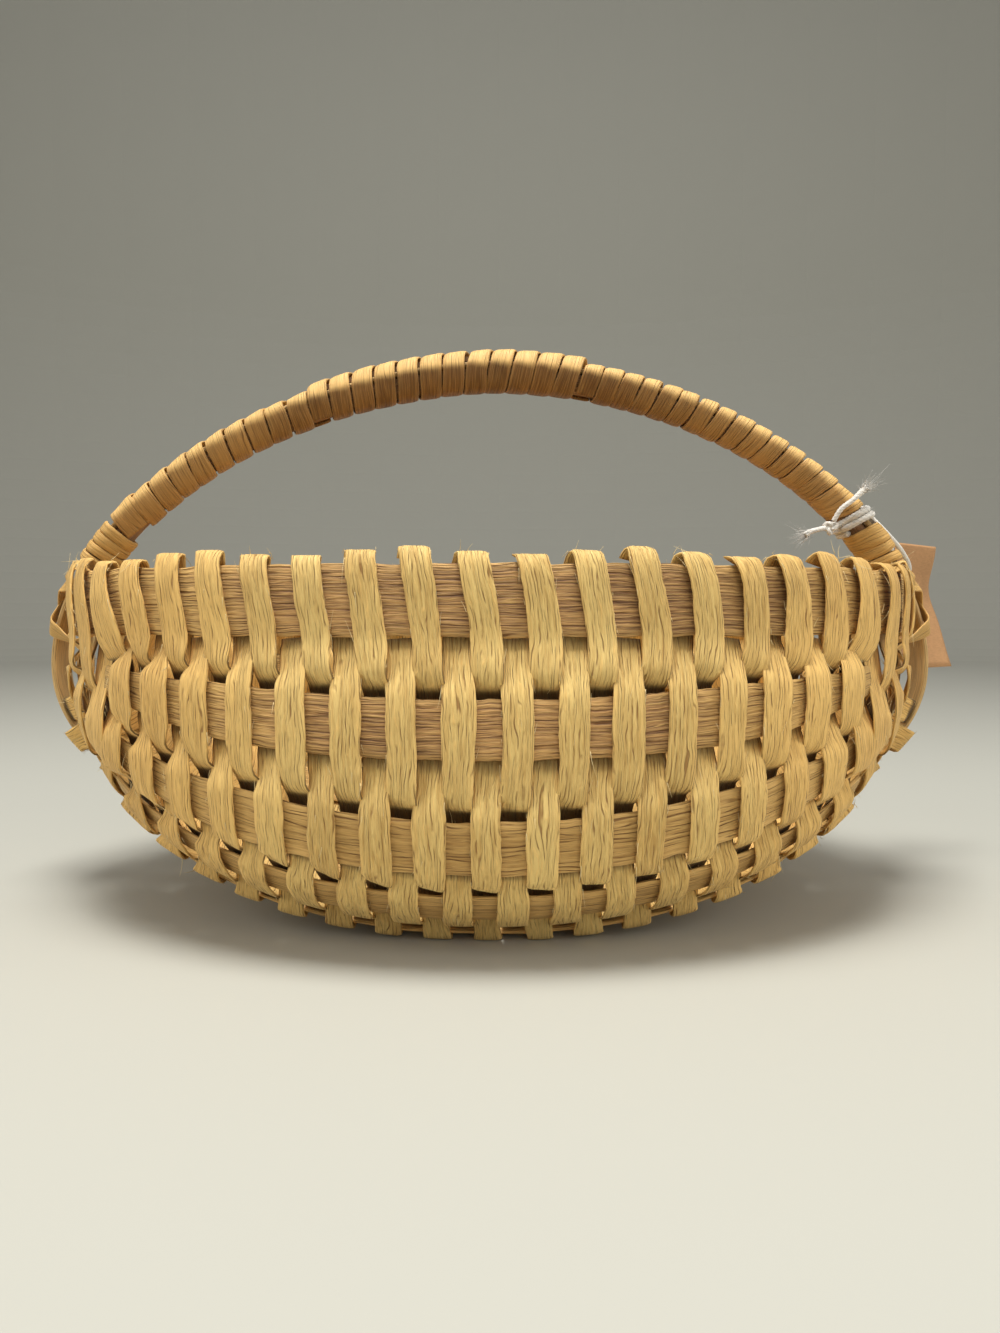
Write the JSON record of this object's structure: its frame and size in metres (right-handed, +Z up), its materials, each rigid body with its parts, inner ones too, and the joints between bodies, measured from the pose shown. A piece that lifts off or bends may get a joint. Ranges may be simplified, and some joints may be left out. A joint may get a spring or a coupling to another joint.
{
  "type": "splint egg basket",
  "caption": "Oval splint egg basket on two rounded lobes, woven over flat ribs, with a wrapped bow handle and a blank hanging tag.",
  "frame": {"origin": "middle of the underside, on the floor plane the two lobes stand on", "axes": "+Z up, X along the handle and keel with the tag at +X, Y across the basket, -Y the pictured side"},
  "size_m": [0.3519, 0.2158, 0.201],
  "materials": {
    "weaver_splint_a": "dry split wood, satin",
    "weaver_splint_b": "dry split wood, satin",
    "weaver_splint_c": "dry split wood, satin",
    "weaver_splint_d": "dry split wood, satin",
    "rib_splint": "split wood, fibrous",
    "rim_splint": "split wood, fibrous",
    "hoop_splint": "split wood, satin",
    "core_wood": "split wood, dull",
    "overlay_splint": "split wood, satin",
    "wrap_splint": "handled split wood, satin",
    "lashing_splint": "split wood, satin",
    "tag_string": "soft twisted cotton",
    "tag_card": "uncoated card"
  },
  "bodies": {
    "basket": {"rim_band": "rim_splint", "bow_hoop": "hoop_splint", "rib_front_1": "rib_splint", "rib_front_2": "rib_splint", "rib_front_3": "rib_splint", "rib_front_4": "rib_splint", "rib_front_5": "rib_splint", "rib_back_1": "rib_splint", "rib_back_2": "rib_splint", "rib_back_3": "rib_splint", "rib_back_4": "rib_splint", "rib_back_5": "rib_splint", "handle_core": "core_wood", "handle_overlay": "overlay_splint", "handle_wrap_right": "wrap_splint", "handle_wrap_middle": "wrap_splint", "handle_wrap_left": "wrap_splint", "neck_lashing_right": "lashing_splint", "neck_lashing_left": "lashing_splint", "ear_lashing_right": "lashing_splint", "ear_lashing_left": "lashing_splint", "weaver_01": "weaver_splint_b", "weaver_02": "weaver_splint_c", "weaver_03": "weaver_splint_d", "weaver_04": "weaver_splint_a", "weaver_05": "weaver_splint_b", "weaver_06": "weaver_splint_c", "weaver_07": "weaver_splint_d", "weaver_08": "weaver_splint_a", "weaver_09": "weaver_splint_b", "weaver_10": "weaver_splint_c", "weaver_11": "weaver_splint_d", "tag_string_turns": "tag_string", "tag_string_knot": "tag_string", "tag_string_end_up": "tag_string", "tag_string_end_low": "tag_string"},
    "tag": {"tag_loop": "tag_string", "hang_tag": "tag_card"}
  },
  "joints": [
    {"name": "tag_swing", "type": "hinge", "parent": "basket", "child": "tag", "pos_m": [0.1441, 0, 0.13997], "axis": [0, -1, 0], "range_deg": [0, 60]}
  ]
}
